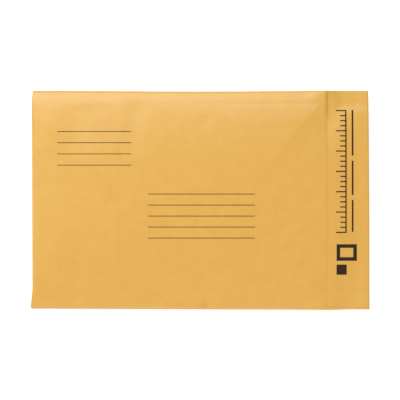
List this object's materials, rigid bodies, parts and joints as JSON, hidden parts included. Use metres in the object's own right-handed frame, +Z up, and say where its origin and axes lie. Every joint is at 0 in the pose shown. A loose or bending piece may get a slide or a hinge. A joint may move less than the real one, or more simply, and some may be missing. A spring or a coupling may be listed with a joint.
{
  "type": "padded envelope",
  "caption": "Padded kraft mailing envelope lined with bubble film, lying empty on its back with its self-seal flap open and ruled lines for two addresses.",
  "frame": {"origin": "under the middle of the whole envelope, on the surface that it lies on", "axes": "+X from the bottom fold to the flap's free edge, +Y to the top edge of the address side, +Z up out of the address side"},
  "size_m": [0.2668, 0.1714, 0.0136],
  "materials": {
    "kraft": "golden kraft paper, slightly calendered, with a soft sheen",
    "bubble_film": "clear polyethylene bubble film, milky where it is doubled",
    "adhesive": "tacky hot-melt adhesive under its liner",
    "release_liner": "white silicone-coated paper strip",
    "print": "very dark brown ink, matt"
  },
  "bodies": {
    "root": {"kraft_envelope": "kraft", "bubble_lining": "bubble_film", "seal_adhesive": "adhesive", "release_liner": "release_liner", "return_rule_1": "print", "return_rule_2": "print", "return_rule_3": "print", "return_rule_4": "print", "address_rule_1": "print", "address_rule_2": "print", "address_rule_3": "print", "address_rule_4": "print", "address_rule_5": "print", "flap_scale": "print", "flap_dash_1": "print", "flap_dash_2": "print", "flap_dash_3": "print", "flap_box": "print", "flap_square": "print"}
  },
  "joints": []
}
